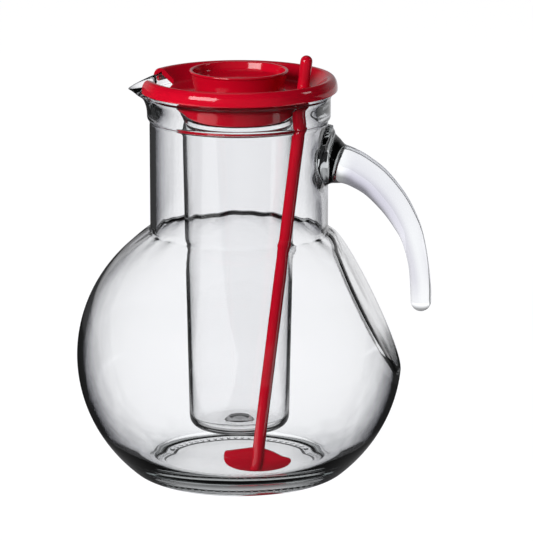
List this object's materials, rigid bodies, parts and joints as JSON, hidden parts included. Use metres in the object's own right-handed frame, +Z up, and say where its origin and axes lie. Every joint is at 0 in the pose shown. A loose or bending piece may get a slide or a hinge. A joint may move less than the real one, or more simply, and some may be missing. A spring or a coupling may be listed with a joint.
{
  "type": "glass jug with lid, ice tube and stirrer",
  "caption": "Ball-shaped glass jug with a straight neck, beak and open-ended handle, a seated plastic lid, a clear ice tube with its cap, and a slanting stirrer",
  "frame": {"origin": "where the jug's axis meets the plane that it stands on", "axes": "+Z up along the axis of the ball, neck and lid; the beak points along -X and the handle along +X; the stirrer stands on the -Y side"},
  "size_m": [0.1792, 0.1644, 0.2165],
  "materials": {
    "glass": "clear, fire polished",
    "clear_plastic": "clear moulded plastic, slightly wavy",
    "red_plastic": "glossy moulded plastic"
  },
  "bodies": {
    "jug": {"glass_jug": "glass", "glass_handle": "glass"},
    "lid": {"lid": "red_plastic"},
    "tube_cap": {"tube_cap": "red_plastic"},
    "ice_tube": {"ice_tube": "clear_plastic"},
    "stirrer": {"stirrer": "red_plastic"}
  },
  "joints": [
    {"name": "lid_lift", "type": "slide", "parent": "jug", "child": "lid", "axis": [0, 0, 1], "range_m": [0, 0.2]},
    {"name": "cap_lift", "type": "slide", "parent": "lid", "child": "tube_cap", "axis": [0, 0, 1], "range_m": [0, 0.04]},
    {"name": "tube_turn", "type": "hinge", "parent": "lid", "child": "ice_tube", "pos_m": [0, 0, 0.185], "axis": [0, 0, 1], "range_deg": [0, 35]},
    {"name": "stirrer_spin", "type": "hinge", "parent": "lid", "child": "stirrer", "pos_m": [0.03181, -0.01483, 0.19621], "axis": [0.1188, 0.0935, 0.9885], "continuous": true}
  ]
}
